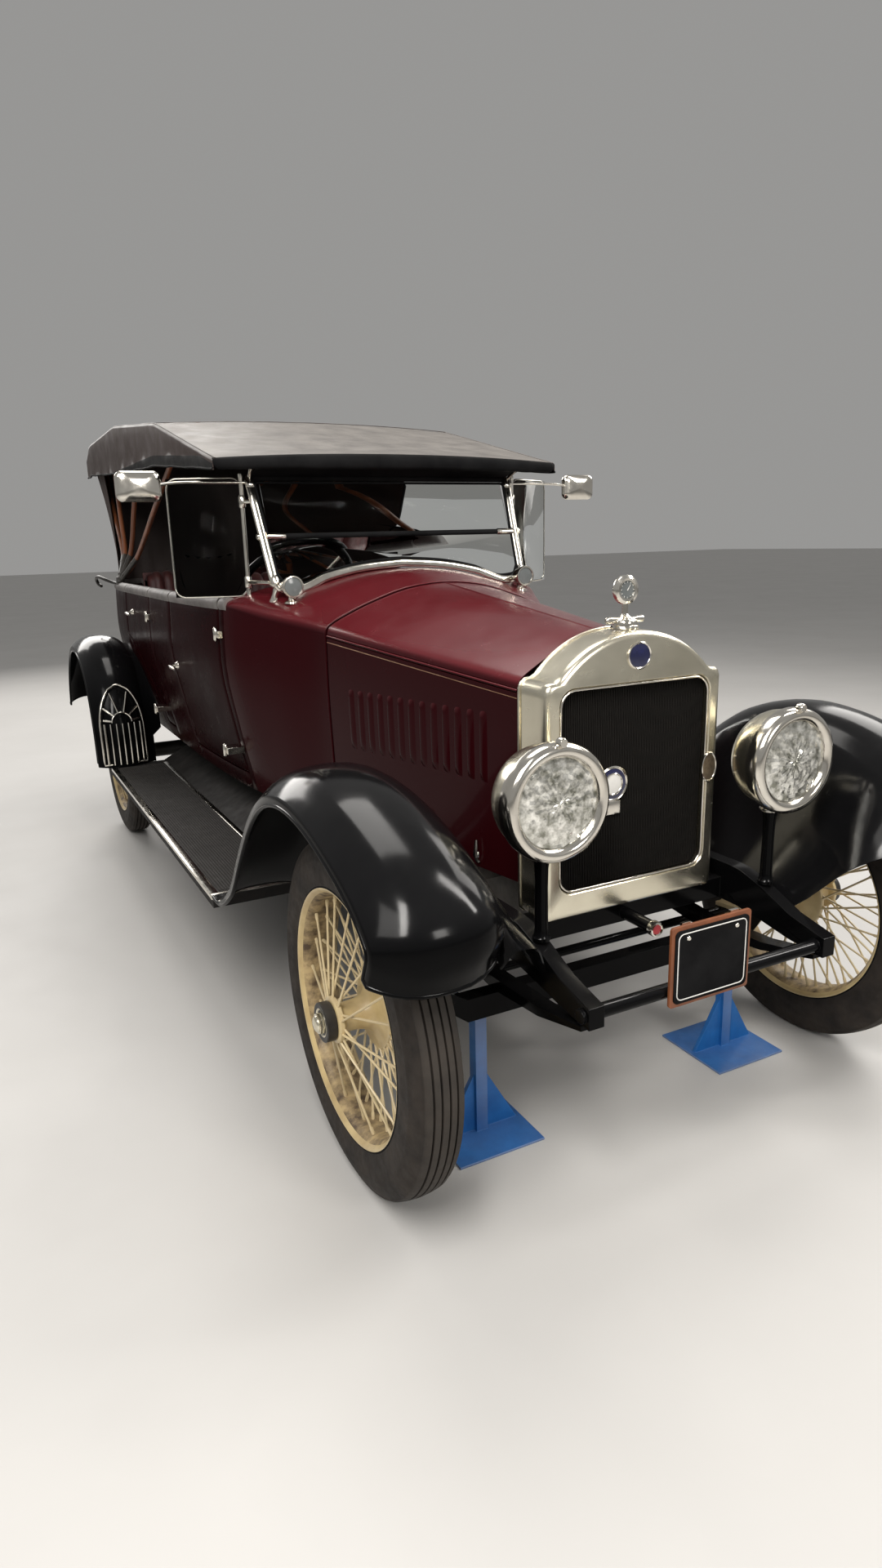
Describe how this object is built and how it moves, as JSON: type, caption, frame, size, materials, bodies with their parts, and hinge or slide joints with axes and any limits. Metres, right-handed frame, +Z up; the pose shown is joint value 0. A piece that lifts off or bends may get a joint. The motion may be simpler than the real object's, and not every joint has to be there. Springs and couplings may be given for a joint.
{
  "type": "vintage open tourer car",
  "caption": "Open four-door tourer of about 1919 with a raised folding top, wire-spoked wheels, hinged doors, folding bonnet and steering linkage.",
  "frame": {"origin": "centre of the car's footprint on the ground", "axes": "+Z up; the car faces -Y and its right-hand side is at -X"},
  "size_m": [1.834, 4.55, 2.02],
  "materials": {
    "maroon_paint": "deep maroon coach paint, glossy",
    "black_enamel": "black stove enamel, glossy",
    "nickel": "warm nickel plate",
    "cream_enamel": "aged cream enamel",
    "tyre_rubber": "dark high-pressure tyre rubber",
    "leathercloth": "black leathercloth with a dull sheen",
    "seat_leather": "dark red buttoned leather",
    "bow_wood": "varnished orange-brown ash",
    "dash_wood": "polished brown wood",
    "screen_glass": "plain plate glass",
    "iron": "oily cast iron",
    "board_mat": "black ribbed rubber mat",
    "stand_paint": "blue workshop paint"
  },
  "bodies": {
    "chassis": {"chassis_frame": "black_enamel", "front_axle": "black_enamel", "rear_axle": "black_enamel", "engine_block": "iron", "gearbox": "iron", "exhaust": "iron", "fuel_tank": "black_enamel", "radiator_shell": "nickel", "radiator_core": "black_enamel", "scuttle": "maroon_paint", "dashboard": "dash_wood", "body_tub": "maroon_paint", "seat_front": "seat_leather", "seat_rear": "seat_leather", "fender_front_left": "black_enamel", "fender_front_right": "black_enamel", "fender_rear_left": "black_enamel", "fender_rear_right": "black_enamel", "running_board_left": "board_mat", "running_board_right": "board_mat", "headlamp_left": "nickel", "headlamp_right": "nickel", "windscreen_frame": "nickel", "windscreen_glass_lower": "screen_glass", "windscreen_glass_upper": "screen_glass", "wing_glass_left": "screen_glass", "wing_glass_right": "screen_glass", "top_cloth": "leathercloth", "top_curtain": "leathercloth", "top_bows": "bow_wood", "number_plate": "black_enamel", "axle_stand_left": "stand_paint", "axle_stand_right": "stand_paint", "steering_column": "black_enamel", "wire_wheel_spare": "cream_enamel", "tyre_spare": "tyre_rubber"},
    "right_knuckle": {"knuckle_right": "cream_enamel"},
    "left_knuckle": {"knuckle_left": "cream_enamel"},
    "track_rod": {"tie_rod": "black_enamel"},
    "hand_wheel": {"steering_wheel": "black_enamel"},
    "front_right_wheel": {"wire_wheel_front_right": "cream_enamel", "tyre_front_right": "tyre_rubber"},
    "front_left_wheel": {"wire_wheel_front_left": "cream_enamel", "tyre_front_left": "tyre_rubber"},
    "rear_right_wheel": {"wire_wheel_rear_right": "cream_enamel", "tyre_rear_right": "tyre_rubber"},
    "rear_left_wheel": {"wire_wheel_rear_left": "cream_enamel", "tyre_rear_left": "tyre_rubber"},
    "front_right_door": {"door_front_right": "maroon_paint"},
    "front_left_door": {"door_front_left": "maroon_paint"},
    "rear_right_door": {"door_rear_right": "maroon_paint"},
    "rear_left_door": {"door_rear_left": "maroon_paint"},
    "right_top_leaf": {"bonnet_top_right": "maroon_paint"},
    "right_side_leaf": {"bonnet_side_right": "maroon_paint"},
    "left_top_leaf": {"bonnet_top_left": "maroon_paint"},
    "left_side_leaf": {"bonnet_side_left": "maroon_paint"}
  },
  "joints": [
    {"name": "kingpin_right", "type": "hinge", "parent": "chassis", "child": "right_knuckle", "pos_m": [-0.59, -1.8, 0.413], "axis": [0, 0, 1], "range_deg": [-28, 28]},
    {"name": "kingpin_left", "type": "hinge", "parent": "chassis", "child": "left_knuckle", "pos_m": [0.59, -1.8, 0.413], "axis": [0, 0, 1], "range_deg": [-28, 28]},
    {"name": "track_rod_eye", "type": "hinge", "parent": "right_knuckle", "child": "track_rod", "pos_m": [-0.56, -1.63, 0.335], "axis": [0, 0, 1], "range_deg": [-28, 28]},
    {"name": "steering_shaft", "type": "hinge", "parent": "chassis", "child": "hand_wheel", "pos_m": [-0.285, -0.3, 1.33], "axis": [0, 0.6157, 0.788], "range_deg": [-420, 420]},
    {"name": "hub_front_right", "type": "hinge", "parent": "right_knuckle", "child": "front_right_wheel", "pos_m": [-0.711, -1.8, 0.413], "axis": [1, 0, 0], "continuous": true},
    {"name": "hub_front_left", "type": "hinge", "parent": "left_knuckle", "child": "front_left_wheel", "pos_m": [0.711, -1.8, 0.413], "axis": [1, 0, 0], "continuous": true},
    {"name": "hub_rear_right", "type": "hinge", "parent": "chassis", "child": "rear_right_wheel", "pos_m": [-0.711, 1.4, 0.413], "axis": [1, 0, 0], "continuous": true},
    {"name": "hub_rear_left", "type": "hinge", "parent": "chassis", "child": "rear_left_wheel", "pos_m": [0.711, 1.4, 0.413], "axis": [1, 0, 0], "continuous": true},
    {"name": "front_door_right", "type": "hinge", "parent": "chassis", "child": "front_right_door", "pos_m": [-0.62885, -0.397, 1], "axis": [0, 0, 1], "range_deg": [0, 70]},
    {"name": "front_door_left", "type": "hinge", "parent": "chassis", "child": "front_left_door", "pos_m": [0.62885, -0.397, 1], "axis": [0, 0, -1], "range_deg": [0, 70]},
    {"name": "rear_door_right", "type": "hinge", "parent": "chassis", "child": "rear_right_door", "pos_m": [-0.671, 0.643, 1], "axis": [0, 0, 1], "range_deg": [0, 70]},
    {"name": "rear_door_left", "type": "hinge", "parent": "chassis", "child": "rear_left_door", "pos_m": [0.671, 0.643, 1], "axis": [0, 0, -1], "range_deg": [0, 70]},
    {"name": "bonnet_crown_right", "type": "hinge", "parent": "chassis", "child": "right_top_leaf", "pos_m": [0, -1.322, 1.2735], "axis": [0, 0.9936, 0.1129], "range_deg": [0, 50]},
    {"name": "bonnet_crown_left", "type": "hinge", "parent": "chassis", "child": "left_top_leaf", "pos_m": [0, -1.322, 1.2735], "axis": [0, -0.9936, -0.1129], "range_deg": [0, 50]},
    {"name": "bonnet_crease_right", "type": "hinge", "parent": "right_top_leaf", "child": "right_side_leaf", "pos_m": [-0.33193, -1.325, 1.14424], "axis": [0.1801, -0.9799, -0.0861], "range_deg": [0, 25]},
    {"name": "bonnet_crease_left", "type": "hinge", "parent": "left_top_leaf", "child": "left_side_leaf", "pos_m": [0.33193, -1.325, 1.14424], "axis": [0.1801, 0.9799, 0.0861], "range_deg": [0, 25]}
  ],
  "couplings": [
    {"joint": "kingpin_left", "follows": "kingpin_right", "ratio": 1},
    {"joint": "track_rod_eye", "follows": "kingpin_right", "ratio": -1},
    {"joint": "steering_shaft", "follows": "kingpin_right", "ratio": 15},
    {"joint": "bonnet_crease_right", "follows": "bonnet_crown_right", "ratio": 0.5},
    {"joint": "bonnet_crease_left", "follows": "bonnet_crown_left", "ratio": 0.5}
  ]
}
